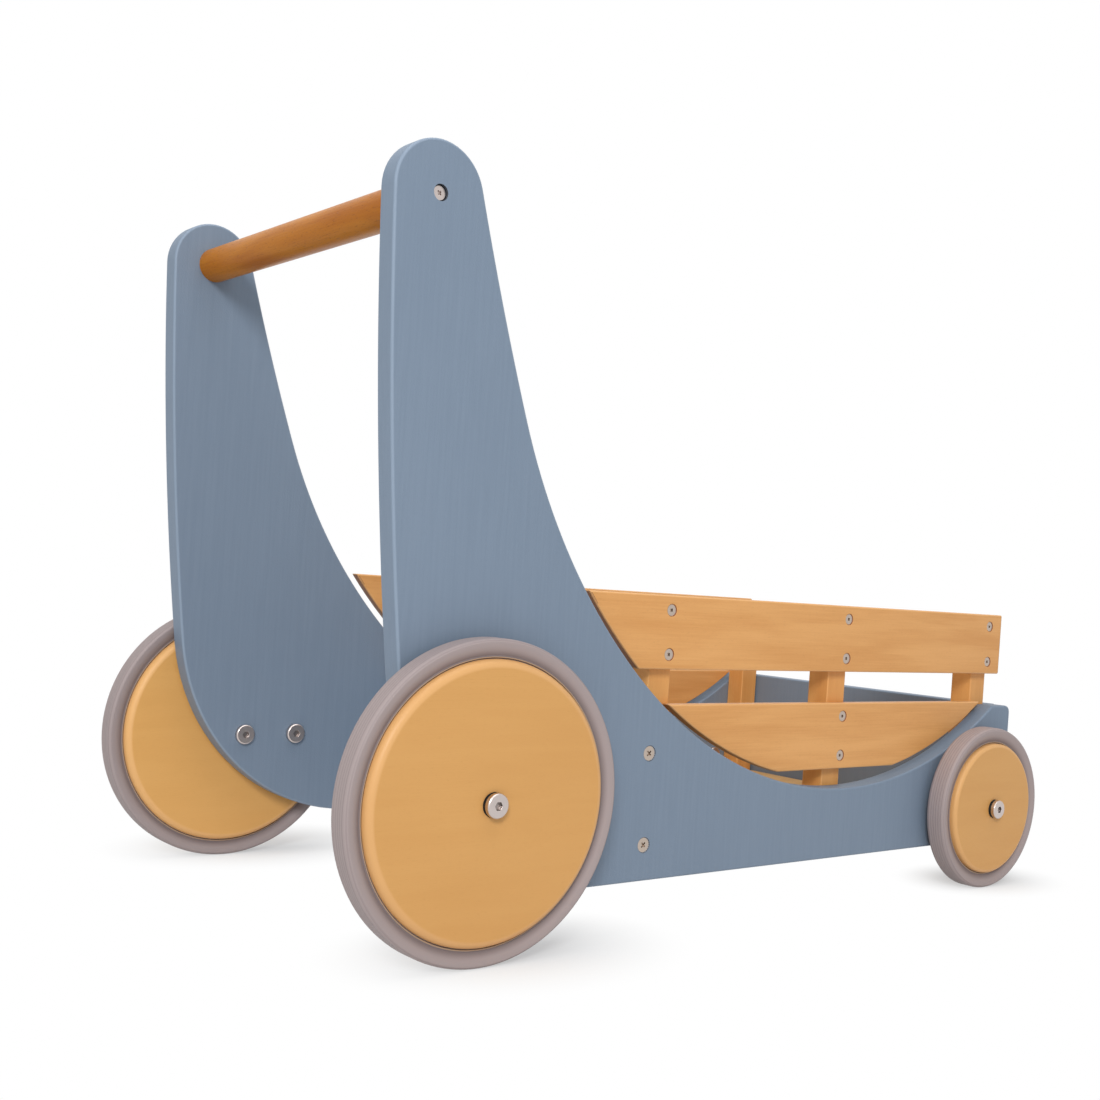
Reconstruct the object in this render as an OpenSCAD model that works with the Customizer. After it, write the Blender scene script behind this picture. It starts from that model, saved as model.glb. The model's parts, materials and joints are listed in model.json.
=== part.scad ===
// Wooden push walker: two swept side panels, a handle bar, an open cargo box with slatted
// sides, and four rubber-tyred wooden wheels on connector-bolt axles.
// +X is forwards, +Y is the left side, +Z is up, and the floor is z = 0.

/* [Wheels] */
// Diameter of the rear wheels over the tyre
rear_wheel_d = 200; // [170:1:230]
// Diameter of the front wheels over the tyre
front_wheel_d = 136; // [126:1:150]
// Distance between the rear and the front axle
wheelbase = 528; // [500:1:560]
// Thickness of a wheel disc
disc_t = 23; // [20:0.5:28]
// Rounding of the rear wheel discs' edges
rear_disc_round = 5.5; // [2:0.1:6]
// Rounding of the front wheel discs' edges
front_disc_round = 3.4; // [2:0.1:6]
// Height of the rear tyre that shows beside the disc
rear_tyre_h = 12.5; // [9:0.5:16]
// Height of the front tyre that shows beside the disc
front_tyre_h = 13; // [9:0.5:16]
// Distance of a tyre's shoulder from the disc's face
tyre_inset = 2.5; // [1:0.1:4]
// Depth by which a tyre's side sinks from the shoulder towards the disc
tyre_dish = 3.5; // [0:0.1:4.5]
// Rounding of the tyres' shoulders
tyre_round = 4; // [2:0.5:6]
// Depth of the groove in the disc that holds the tyre
tyre_seat = 2.5; // [1.5:0.1:4]
// Gap between a side panel and a wheel disc
wheel_gap = 2.5; // [1.5:0.1:6]

/* [Axles] */
// Diameter of the axle sleeve that a wheel turns on
axle_d = 10; // [8:0.5:12]
// Diameter of the bolt inside the axle sleeve
axle_bolt_d = 6; // [4:0.5:6]
// Depth to which the bolt is screwed into the sleeve
axle_bolt_grip = 30; // [22:1:34]
// Distance of the sleeve's inner end from the panel's inner face
sleeve_short = 1; // [0.5:0.1:3]
// Wall of the bush that lines a wheel disc's bore
bush_wall = 2.5; // [1.5:0.1:4]
// Diameter of the flat bolt heads and axle caps
cap_d = 15.5; // [13:0.5:18]
// Thickness of the flat bolt heads and axle caps
cap_t = 3.6; // [3:0.1:5]
// Bevel round the rim of a cap
cap_bevel = 0.8; // [0.4:0.1:1.2]
// Width across the flats of the hexagon socket in a cap
socket_af = 5; // [4:0.5:6]
// Depth of the hexagon socket
socket_depth = 2.2; // [1.5:0.1:2.6]
// Thickness of the washer under an axle cap
cap_washer_t = 1.8; // [1:0.1:3]
// Outside diameter of the washers
washer_d = 14; // [13:0.5:16]

/* [Wheel tension] */
// Distance of the tension bolt in front of the rear axle
tension_x = 44; // [36:1:60]
// Diameter of the tension bolt
tension_d = 8; // [6:0.5:8]
// Outside diameter of the threaded insert
insert_d = 12; // [11:0.5:13]
// Diameter of the friction pad
pad_d = 12; // [10:0.5:14]
// Thickness of the friction pad
pad_t = 2.2; // [1.5:0.1:3]
// Depth of the recess that the pad draws back into
pad_recess = 4; // [3.5:0.1:5]
// Gap between the pad and the wheel, and under the tension bolt's head
tension_gap = 0.3; // [0.3:0.05:1]
// Gap round the pad in its recess
pad_play = 1; // [0.5:0.1:2]

/* [Side panels] */
// Width over the side panels
body_w = 326; // [280:1:380]
// Thickness of a side panel
panel_t = 16.5; // [15:0.5:21]
// Height of a panel's bottom edge above the floor
panel_clear = 35; // [28:1:40]
// Distance of the panels' front end in front of the front axle
nose_reach = 54; // [50:1:62]
// Height of a panel's flat front top above the floor
front_h = 152.5; // [140:0.5:165]
// Rounding of the panels' front corners
nose_r = 6; // [3:0.5:12]
// Radius of the rounded panel head around the handle
head_r = 31.5; // [26:0.5:38]
// Radius of the low sweep along the box
sweep_r = 334; // [320:1:355]
// Place of the sweep's lowest point along the wheelbase, as a share from the rear axle
sweep_share = 0.681; // [0.665:0.001:0.695]
// Height of the sweep's lowest point above the floor
sweep_z = 89.5; // [85:0.5:98]
// Height at which the sweep goes over into the flatter shoulder above it
sweep_top = 165; // [150:1:180]
// Radius of the shoulder between the sweep and the upright's front edge
shoulder_r = 398; // [380:1:415]
// Height at which the shoulder goes over into the upright's front edge
shoulder_top = 334; // [315:1:350]
// Radius of the upright's rear edge
rear_edge_r = 2800; // [1800:50:4000]
// Radius of the rear bottom corner
corner_r = 158; // [130:1:175]
// Distance of the corner's end in front of the rear axle
corner_x = 101; // [90:1:120]

/* [Handle] */
// Diameter of the handle bar
handle_d = 25; // [20:1:32]
// Distance of the handle behind the rear axle
handle_back = 48; // [40:1:60]
// Height of the handle's axis above the floor
handle_z = 460; // [430:1:490]
// Diameter of the handle screw's shank
handle_screw_d = 5; // [4:0.5:6]
// Diameter of the handle screw's head
handle_head_d = 8.6; // [7:0.1:10]
// Height of the handle screw's head
handle_head_t = 2.4; // [2:0.1:3]
// Depth of the counterbore that hides the handle screw's head
handle_sink = 4.2; // [3.2:0.1:7.5]
// Gap round the handle screw's head in its counterbore
handle_sink_play = 0.7; // [0.2:0.1:1.5]
// Length of the handle screw in the bar
handle_screw_grip = 40; // [30:1:55]

/* [Box] */
// Thickness of the front and rear walls
wall_t = 15; // [13:0.5:16]
// Distance of the rear wall behind the point where the sweep passes the wall's top
wall_cover = 8; // [3:0.25:12]
// Height of the walls' bottom edge above the panels' bottom edge
wall_lift = 2; // [0:0.5:5]
// Height of the floor board's top above the panels' bottom edge
floor_lift = 18; // [15:0.5:21]
// Thickness of the floor board
floor_t = 10; // [8:0.5:12]
// Thickness of the tongue along the floor board's edges
tongue_t = 5; // [4:0.5:6]
// Depth of the groove in a panel that takes the tongue
groove_depth = 5; // [3:0.5:7]

/* [Slats and posts] */
// Thickness of a slat
slat_t = 8.5; // [7:0.5:12]
// Height of a slat
slat_h = 52; // [44:0.5:58]
// Height of the lower slat's bottom edge above the panel's sweep
slat_lift = 14; // [10:0.5:18]
// Gap between the lower and the upper slat
slat_space = 24.5; // [16:0.5:32]
// Gap between the lower slat's ends and the panel's sweep
lower_end_gap = 6.5; // [4:0.5:10]
// Gap between the upper slat's end and the panel's shoulder
upper_end_gap = 7; // [4:0.5:14]
// Distance of the upper slat's front end behind the panels' front end
slat_setback = 9.5; // [4:0.5:14]
// Width of a post along the slats
post_w = 21; // [18:0.5:23]
// Depth of a post from the slats inwards
post_d = 20; // [18:0.5:26]
// Gap between an end post and the wall beside it
post_gap = 2; // [0.5:0.1:4]
// Distance of a post's top below the upper slat's top edge
post_drop = 2.5; // [1:0.5:6]

/* [Fasteners] */
// Diameter of the slat screws' shanks
slat_screw_d = 4; // [3:0.5:5]
// Diameter of the slat screws' countersunk heads
slat_head_d = 8; // [7:0.5:9.5]
// Length of a slat screw in the post
slat_screw_grip = 14; // [10:0.5:16]
// Distance of a slat screw from the slat's edge
slat_screw_edge = 10.5; // [8:0.5:16]
// Diameter of the wall screws' shanks
wall_screw_d = 6; // [4:0.5:6]
// Diameter of the wall screws' countersunk heads
wall_head_d = 10; // [8:0.5:12]
// Length of a wall screw in the wall
wall_screw_grip = 32; // [24:1:45]
// Height of the lower wall screw above the panels' bottom edge
wall_screw_low = 25; // [22:1:30]
// Distance between the lower and the upper wall screw
wall_screw_pitch = 63; // [50:1:72]
// Depth of the countersunk heads below the wood around them
screw_sink = 0.5; // [0:0.1:1]
// Width of the cross recess's arms
cross_w = 1.1; // [0.8:0.1:1.5]
// Wall that the cross recess leaves at the rim of a screw's head
cross_rim = 1.1; // [0.5:0.1:1.3]
// Depth of the cross recess
cross_depth = 1.6; // [1:0.1:2]
// Diameter of the dowels between the posts and the panels
dowel_d = 8; // [6:0.5:8]
// Length of a dowel in the post, and in the panel
dowel_grip = 12; // [8:0.5:13]
// Height of the lower dowel above the floor board
dowel_low = 9; // [6:0.5:12]
// Distance of the upper dowel below the panel's sweep
dowel_below = 11; // [8:0.5:13]

/* [Clearances] */
// Radial clearance of a wheel on its axle, and of the tension bolt in its insert
run_fit = 0.05; // [0.02:0.01:0.1]
// Radial clearance of screws, sleeves, dowels and tyres where they sit
seat_fit = 0.05; // [0.03:0.01:0.1]
// Side play between a turning wheel and the washers beside it
side_play = 0.3; // [0.3:0.05:0.6]
// Gap round the floor board and its tongues
board_gap = 0.5; // [0.2:0.1:1]

/* [Hidden] */

$fn = 64;
eps = 0.5;
arc_steps = 24;
round_steps = 6;
arc_skip = 1;
sweep_fn = 128;
wheel_fn = 96;

PAINT = [0.48, 0.54, 0.61];
BEECH = [0.85, 0.64, 0.39];
PLY = [0.85, 0.66, 0.36];
DOWEL_WOOD = [0.76, 0.48, 0.23];
FLOOR_WOOD = [0.87, 0.72, 0.50];
RUBBER = [0.60, 0.56, 0.55];
STEEL = [0.80, 0.80, 0.81];
BRASS = [0.78, 0.62, 0.30];
NYLON = [0.13, 0.13, 0.14];
FELT = [0.35, 0.34, 0.33];

// Places along the walker: the origin is the middle of its length
rear_x = -(wheelbase + front_wheel_d / 2 - rear_wheel_d / 2) / 2;
front_x = rear_x + wheelbase;
nose_x = front_x + nose_reach;
rear_axle = [rear_x, rear_wheel_d / 2];
front_axle = [front_x, front_wheel_d / 2];
tension_at = rear_axle + [tension_x, 0];
handle_at = [rear_x - handle_back, handle_z];

// Places across the walker, measured outwards from its middle
outer_y = body_w / 2;
inner_y = outer_y - panel_t;
disc_in_y = outer_y + wheel_gap;
disc_out_y = disc_in_y + disc_t;
cap_y = disc_out_y + side_play + cap_washer_t;
pad_in_y = disc_in_y - tension_gap - pad_t;
seat_y = tyre_inset + tyre_dish;

// Arcs that make a side panel's outline, each tangent to the next: the upright's front edge starts
// at the top of the shoulder and touches the head, and its radius is below zero where it bulges
sweep_c = [rear_x + sweep_share * wheelbase, sweep_z + sweep_r];
sweep_top_a = -180 - asin((sweep_top - sweep_c[1]) / sweep_r);
shoulder_c = sweep_c + (sweep_r - shoulder_r) * [cos(sweep_top_a), sin(sweep_top_a)];
shoulder_top_a = -180 - asin((shoulder_top - shoulder_c[1]) / shoulder_r);
shoulder_top_way = [cos(shoulder_top_a), sin(shoulder_top_a)];
shoulder_top_at = shoulder_c + shoulder_r * shoulder_top_way;
from_head = shoulder_top_at - handle_at;
upright_r = (from_head * from_head - head_r * head_r) / (2 * (from_head * shoulder_top_way + head_r));
upright_c = shoulder_top_at - upright_r * shoulder_top_way;
corner_c = [rear_x + corner_x, panel_clear + corner_r];
rear_edge_c = meet(handle_at, rear_edge_r - head_r, corner_c, rear_edge_r - corner_r);

// Box, slats and posts
rear_wall_front = sweep_c[0] - sqrt(sweep_r * sweep_r - pow(sweep_c[1] - front_h, 2)) - wall_cover;
front_wall_back = nose_x - wall_t;
rear_post_x = rear_wall_front + post_gap + post_w / 2;
front_post_x = front_wall_back - post_gap - post_w / 2;
middle_post_x = (rear_post_x + front_post_x) / 2;
post_xs = [rear_post_x, middle_post_x, front_post_x];
notch_reach = post_w / 2 + board_gap;
post_notches = [[rear_wall_front, rear_post_x + notch_reach],
    [middle_post_x - notch_reach, middle_post_x + notch_reach],
    [front_post_x - notch_reach, front_wall_back]];
floor_z =panel_clear + floor_lift;
floor_under = floor_z - floor_t;
lower_slat_z = sweep_z + slat_lift;
upper_slat_z = lower_slat_z + slat_h + slat_space;
slat_top = upper_slat_z + slat_h;
slat_front = nose_x - slat_setback;
post_top = slat_top - post_drop;
upper_screw_zs = [upper_slat_z + slat_screw_edge, slat_top - slat_screw_edge];
lower_screw_zs = [lower_slat_z + slat_screw_edge, lower_slat_z + slat_h - slat_screw_edge];
wall_screw_zs = [for (i = [0, 1]) panel_clear + wall_screw_low + i * wall_screw_pitch];
dowel_zs = [floor_z + dowel_low, sweep_z - dowel_below];
rear_screw_x = rear_wall_front - wall_t / 2;
front_screw_x = nose_x - wall_t / 2;

// Point in front of the line a-b that is ra away from a and rb away from b
function meet(a, ra, b, rb) =
    let (d = norm(b - a), u = (b - a) / d, along = (ra * ra - rb * rb + d * d) / (2 * d))
    a + u * along + [-u[1], u[0]] * sqrt(ra * ra - along * along);

// Direction from a to b in degrees, counted up from 0
function heading(a, b) = let (h = atan2(b[1] - a[1], b[0] - a[0])) h < 0 ? h + 360 : h;

// Points along an arc
function arc(c, r, from, to, steps = arc_steps) =
    [for (i = [0:steps]) let (a = from + (to - from) * i / steps) c + r * [cos(a), sin(a)]];

// Outline of a side panel, seen from the right, from the front bottom corner round the head
function panel_outline() =
    let (sweep_end = asin((front_h - sweep_c[1]) / sweep_r),
        upright_end = heading([0, 0], sign(upright_r) * (handle_at - upright_c)) - 360,
        head_start = upright_end + 180,
        head_end = heading(rear_edge_c, handle_at),
        rear_end = heading(rear_edge_c, corner_c))
    concat(
        arc([nose_x - nose_r, panel_clear + nose_r], nose_r, -90, 0, round_steps),
        arc([nose_x - nose_r, front_h - nose_r], nose_r, 0, 90, round_steps),
        arc(sweep_c, sweep_r, sweep_end, sweep_top_a, 2 * arc_steps),
        arc(shoulder_c, shoulder_r, sweep_top_a - arc_skip, shoulder_top_a),
        arc(upright_c, upright_r, shoulder_top_a + (upright_end - shoulder_top_a) / arc_steps,
            upright_end, arc_steps - 1),
        arc(handle_at, head_r, head_start + arc_skip, head_end - arc_skip),
        arc(rear_edge_c, rear_edge_r, head_end, rear_end),
        arc(corner_c, corner_r, rear_end + arc_skip, 270));

// Children are drawn in the side view, with their own +Z pointing outwards on the right side
module out_from(y) translate([0, -y, 0]) rotate([90, 0, 0]) children();

// The left side is the mirror image of the right side
module on_left() mirror([0, 1, 0]) children();

// Hole or shank at one place of the side view
module rod(at, d, from, to) translate([at[0], at[1], from]) cylinder(d = d, h = to - from);

// Flat ring
module ring(at, d_in, d_out, from, to) difference() {
    rod(at, d_out, from, to);
    rod(at, d_in, from - eps, to + eps);
}

// Countersunk head below the surface at height top
module sunk_head(at, head_d, shank_d, top) {
    depth = (head_d - shank_d) / 2;
    translate([at[0], at[1], top - depth]) cylinder(d1 = shank_d, d2 = head_d, h = depth);
}

// Room for a countersunk screw: the shank's bore and the head's cone
module screw_hole(at, head_d, shank_d, from, top) {
    rod(at, shank_d + 2 * seat_fit, from, top + eps);
    sunk_head(at, head_d + 2 * (screw_sink + seat_fit), shank_d + 2 * seat_fit, top);
}

// Cross recess in a screw head whose top is at height top
module cross_recess(at, head_d, top) for (turn = [45, 135]) {
    arm = head_d / 2 - cross_depth - cross_rim;
    translate([at[0], at[1], top - cross_depth]) rotate([0, 0, turn])
        translate([-arm, -cross_w / 2, 0]) cube([2 * arm, cross_w, cross_depth + eps]);
}

// Countersunk screw, its head a little below the surface at height top
module sunk_screw(at, head_d, shank_d, from, top) {
    crown = top - screw_sink;
    difference() {
        union() {
            rod(at, shank_d, from, crown - cross_depth / 2);
            sunk_head(at, head_d, shank_d, crown);
        }
        cross_recess(at, head_d, crown);
    }
}

// Flat cap with a bevelled rim and a hexagon socket, its underside at height 0
module cap(at) translate([at[0], at[1], 0]) difference() {
    union() {
        cylinder(d = cap_d, h = cap_t - cap_bevel);
        translate([0, 0, cap_t - cap_bevel])
            cylinder(d1 = cap_d, d2 = cap_d - 2 * cap_bevel, h = cap_bevel);
    }
    translate([0, 0, cap_t - socket_depth])
        cylinder(d = socket_af / cos(30), h = socket_depth + eps, $fn = 6);
}

// Side panel with the bores for what is fixed to it
module side_panel() color(PAINT) out_from(inner_y) difference() {
    linear_extrude(panel_t) polygon(panel_outline());
    for (at = [rear_axle, front_axle]) rod(at, axle_d + 2 * seat_fit, -eps, panel_t + eps);
    rod(tension_at, insert_d + 2 * seat_fit, -eps, panel_t + eps);
    rod(tension_at, pad_d + 2 * pad_play, panel_t - pad_recess, panel_t + eps);
    rod(handle_at, handle_screw_d + 2 * seat_fit, -eps, panel_t + eps);
    rod(handle_at, handle_head_d + 2 * handle_sink_play, panel_t - handle_sink, panel_t + eps);
    for (x = [rear_screw_x, front_screw_x], z = wall_screw_zs)
        screw_hole([x, z], wall_head_d, wall_screw_d, -eps, panel_t);
    for (x = post_xs, z = dowel_zs) rod([x, z], dowel_d + 2 * seat_fit, -eps, dowel_grip + seat_fit);
    translate([rear_wall_front, floor_under, -eps])
        cube([front_wall_back - rear_wall_front, tongue_t + board_gap, groove_depth + eps]);
}

// Round bar between the panel heads, with a pilot bore in each end
module handle_bar() color(DOWEL_WOOD) difference() {
    out_from(-inner_y) rod(handle_at, handle_d, 0, 2 * inner_y);
    for (side = [0, 1]) mirror([0, side, 0]) out_from(inner_y - handle_screw_grip)
        rod(handle_at, handle_screw_d + 2 * seat_fit, -seat_fit, handle_screw_grip + eps);
}

// One screw from each panel into the handle bar
module handle_screws() color(STEEL) for (side = [0, 1]) mirror([0, side, 0]) difference() {
    union() {
        out_from(inner_y - handle_screw_grip)
            rod(handle_at, handle_screw_d, 0, handle_screw_grip + panel_t - handle_sink);
        out_from(outer_y - handle_sink) rod(handle_at, handle_head_d, 0, handle_head_t);
    }
    out_from(outer_y - handle_sink) cross_recess(handle_at, handle_head_d, handle_head_t);
}

// Wall across the box between the panels, with pilot bores in its ends
module box_wall(x) color(PAINT) difference() {
    translate([x - wall_t / 2, -inner_y, panel_clear + wall_lift])
        cube([wall_t, 2 * inner_y, front_h - panel_clear - wall_lift]);
    for (side = [0, 1], z = wall_screw_zs) mirror([0, side, 0]) out_from(inner_y - wall_screw_grip)
        rod([x, z], wall_screw_d + 2 * seat_fit, -seat_fit, wall_screw_grip + eps);
}

// Screws from both panels into a wall
module wall_screws(x) color(STEEL) for (side = [0, 1], z = wall_screw_zs)
    mirror([0, side, 0]) out_from(inner_y)
        sunk_screw([x, z], wall_head_d, wall_screw_d, -wall_screw_grip, panel_t);

// Floor board between the walls, with tongues in the panels' grooves, its corners and sides cut out
// for the posts
module floor_board() color(FLOOR_WOOD) difference() {
    union() {
        translate([rear_wall_front + board_gap, -inner_y + board_gap, floor_under])
            cube([front_wall_back - rear_wall_front - 2 * board_gap, 2 * (inner_y - board_gap), floor_t]);
        translate([rear_wall_front + board_gap, -inner_y - groove_depth + board_gap, floor_under])
            cube([front_wall_back - rear_wall_front - 2 * board_gap,
                2 * (inner_y + groove_depth - board_gap), tongue_t]);
    }
    for (side = [0, 1], notch = post_notches) mirror([0, side, 0])
        translate([notch[0], -inner_y - groove_depth, floor_under - eps])
            cube([notch[1] - notch[0], groove_depth + post_d + board_gap, floor_t + 2 * eps]);
}

// Upright post, with pilot bores for the slat screws and bores for the dowels
module post(x, screw_zs) color(BEECH) difference() {
    translate([x - post_w / 2, -inner_y, floor_under]) cube([post_w, post_d, post_top - floor_under]);
    out_from(inner_y) {
        for (z = screw_zs)
            rod([x, z], slat_screw_d + 2 * seat_fit, -slat_screw_grip - seat_fit, eps);
        for (z = dowel_zs) rod([x, z], dowel_d + 2 * seat_fit, -dowel_grip - seat_fit, eps);
    }
}

// Upper slat: its rear end follows the panel's shoulder
module upper_slat() color(BEECH) difference() {
    intersection() {
        translate([rear_x, -inner_y - slat_t, upper_slat_z])
            cube([slat_front - rear_x, slat_t, slat_h]);
        out_from(inner_y - eps) union() {
            rod(shoulder_c, 2 * (shoulder_r - upper_end_gap), 0, slat_t + 2 * eps, $fn = sweep_fn);
            translate([shoulder_c[0], upper_slat_z, 0])
                cube([slat_front - shoulder_c[0], slat_h, slat_t + 2 * eps]);
        }
    }
    out_from(inner_y) for (x = post_xs, z = upper_screw_zs)
        screw_hole([x, z], slat_head_d, slat_screw_d, -eps, slat_t);
}

// Lower slat: both ends follow the panel's sweep
module lower_slat() color(BEECH) difference() {
    intersection() {
        translate([rear_x, -inner_y - slat_t, lower_slat_z])
            cube([slat_front - rear_x, slat_t, slat_h]);
        out_from(inner_y - eps)
            rod(sweep_c, 2 * (sweep_r - lower_end_gap), 0, slat_t + 2 * eps, $fn = sweep_fn);
    }
    out_from(inner_y) for (z = lower_screw_zs)
        screw_hole([middle_post_x, z], slat_head_d, slat_screw_d, -eps, slat_t);
}

// Screws that hold both slats of one side
module slat_screws() color(STEEL) out_from(inner_y) {
    for (x = post_xs, z = upper_screw_zs)
        sunk_screw([x, z], slat_head_d, slat_screw_d, -slat_screw_grip, slat_t);
    for (z = lower_screw_zs)
        sunk_screw([middle_post_x, z], slat_head_d, slat_screw_d, -slat_screw_grip, slat_t);
}

// Hidden dowels that fix the posts of one side to the panel
module post_dowels() color(BEECH) out_from(inner_y)
    for (x = post_xs, z = dowel_zs) rod([x, z], dowel_d, -dowel_grip, dowel_grip);

// Turned body round a wheel's axle: the profile's x is the radius, its y runs outwards from the disc
module turned(axle) out_from(disc_in_y)
    translate([axle[0], axle[1], 0]) rotate_extrude($fn = wheel_fn) children();

// Wheel disc with rounded edges, a groove for the tyre and a bore for the bush
module wheel_disc(axle, tyre_h, edge_r) color(PLY) turned(axle) difference() {
    face_r = axle[1] - tyre_h - edge_r;
    polygon(concat(
        [[axle_d / 2 + bush_wall + seat_fit, 0]],
        arc([face_r, edge_r], edge_r, -90, 0, round_steps),
        arc([face_r, disc_t - edge_r], edge_r, 0, 90, round_steps),
        [[axle_d / 2 + bush_wall + seat_fit, disc_t]]));
    translate([axle[1] - tyre_h - tyre_seat, seat_y]) square([2 * tyre_seat, disc_t - 2 * seat_y]);
}

// Solid rubber tyre with rounded shoulders and sunken sides, seated in the disc's groove
module tyre(axle, tyre_h) color(RUBBER) turned(axle) {
    rim_r = axle[1] - tyre_h;
    seat_r = rim_r - tyre_seat + seat_fit;
    round_r = axle[1] - tyre_round;
    round_y = tyre_inset + tyre_round;
    foot_y = seat_y + seat_fit;
    polygon(concat(
        [[seat_r, foot_y], [rim_r, foot_y]],
        arc([round_r, round_y], tyre_round, -90, 0, round_steps),
        arc([round_r, disc_t - round_y], tyre_round, 0, 90, round_steps),
        [[rim_r, disc_t - foot_y], [seat_r, disc_t - foot_y]]));
}

// Plain bush in the disc's bore
module bush(axle) color(NYLON) out_from(disc_in_y)
    ring(axle, axle_d + 2 * run_fit, axle_d + 2 * bush_wall, 0, disc_t);

// Sleeve that the wheel turns on, with its cap outside the wheel and a threaded bore inside
module axle_sleeve(axle) color(STEEL) {
    out_from(cap_y) cap(axle);
    out_from(inner_y + sleeve_short) difference() {
        rod(axle, axle_d, 0, cap_y - inner_y - sleeve_short);
        rod(axle, axle_bolt_d + 2 * seat_fit, -eps, axle_bolt_grip);
    }
}

// Bolt from the inside of the panel into the sleeve
module axle_bolt(axle) color(STEEL) {
    out_from(inner_y) rod(axle, axle_bolt_d, 0, axle_bolt_grip);
    mirror([0, 1, 0]) out_from(-inner_y) cap(axle);
}

// Washers between the panel and the disc, and between the disc and the cap
module washers(axle) color(NYLON) {
    out_from(outer_y) ring(axle, axle_d + 2 * seat_fit, washer_d, 0, wheel_gap - side_play);
    out_from(disc_out_y + side_play) ring(axle, axle_d + 2 * seat_fit, washer_d, 0, cap_washer_t);
}

// Threaded insert in the panel for the tension bolt
module tension_insert() color(BRASS) out_from(inner_y)
    ring(tension_at, tension_d + 2 * run_fit, insert_d, eps, panel_t - pad_recess - eps);

// Bolt that is turned from inside to press the pad on the rear wheel
module tension_bolt() color(STEEL) {
    out_from(inner_y - tension_gap) rod(tension_at, tension_d, 0, pad_in_y - inner_y + tension_gap);
    mirror([0, 1, 0]) out_from(tension_gap - inner_y) cap(tension_at);
}

// Felt pad on the tension bolt's end
module tension_pad() color(FELT) out_from(pad_in_y) rod(tension_at, pad_d, 0, pad_t);

side_panel();  // right_side_panel
on_left() side_panel();  // left_side_panel
handle_bar();
handle_screws();
box_wall(front_screw_x);  // front_wall
box_wall(rear_screw_x);  // rear_wall
floor_board();
wall_screws(front_screw_x);  // front_wall_screws
wall_screws(rear_screw_x);  // rear_wall_screws
upper_slat();  // right_upper_slat
on_left() upper_slat();  // left_upper_slat
lower_slat();  // right_lower_slat
on_left() lower_slat();  // left_lower_slat
post(rear_post_x, upper_screw_zs);  // right_rear_post
post(middle_post_x, concat(upper_screw_zs, lower_screw_zs));  // right_middle_post
post(front_post_x, upper_screw_zs);  // right_front_post
on_left() post(rear_post_x, upper_screw_zs);  // left_rear_post
on_left() post(middle_post_x, concat(upper_screw_zs, lower_screw_zs));  // left_middle_post
on_left() post(front_post_x, upper_screw_zs);  // left_front_post
slat_screws();  // right_slat_screws
on_left() slat_screws();  // left_slat_screws
post_dowels();  // right_post_dowels
on_left() post_dowels();  // left_post_dowels
wheel_disc(rear_axle, rear_tyre_h, rear_disc_round);  // right_rear_wheel_disc
tyre(rear_axle, rear_tyre_h);  // right_rear_tyre
bush(rear_axle);  // right_rear_bush
on_left() wheel_disc(rear_axle, rear_tyre_h, rear_disc_round);  // left_rear_wheel_disc
on_left() tyre(rear_axle, rear_tyre_h);  // left_rear_tyre
on_left() bush(rear_axle);  // left_rear_bush
wheel_disc(front_axle, front_tyre_h, front_disc_round);  // right_front_wheel_disc
tyre(front_axle, front_tyre_h);  // right_front_tyre
bush(front_axle);  // right_front_bush
on_left() wheel_disc(front_axle, front_tyre_h, front_disc_round);  // left_front_wheel_disc
on_left() tyre(front_axle, front_tyre_h);  // left_front_tyre
on_left() bush(front_axle);  // left_front_bush
axle_sleeve(rear_axle);  // right_rear_axle_sleeve
axle_bolt(rear_axle);  // right_rear_axle_bolt
washers(rear_axle);  // right_rear_washers
on_left() axle_sleeve(rear_axle);  // left_rear_axle_sleeve
on_left() axle_bolt(rear_axle);  // left_rear_axle_bolt
on_left() washers(rear_axle);  // left_rear_washers
axle_sleeve(front_axle);  // right_front_axle_sleeve
axle_bolt(front_axle);  // right_front_axle_bolt
washers(front_axle);  // right_front_washers
on_left() axle_sleeve(front_axle);  // left_front_axle_sleeve
on_left() axle_bolt(front_axle);  // left_front_axle_bolt
on_left() washers(front_axle);  // left_front_washers
tension_insert();  // right_tension_insert
tension_bolt();  // right_tension_bolt
tension_pad();  // right_tension_pad
on_left() tension_insert();  // left_tension_insert
on_left() tension_bolt();  // left_tension_bolt
on_left() tension_pad();  // left_tension_pad
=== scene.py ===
# %% [markdown]
# # A wooden push walker, dressed over its construction model
# The walker has two painted side panels, a round handle bar, an open box with slatted sides, and
# four wooden wheels with rubber tyres. The construction model already holds every piece at its
# true place and size, so this lesson adds what makes paint, wood, rubber and steel look real:
# eased edges, turned rims and procedural finishes. All lengths are in metres.

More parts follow.
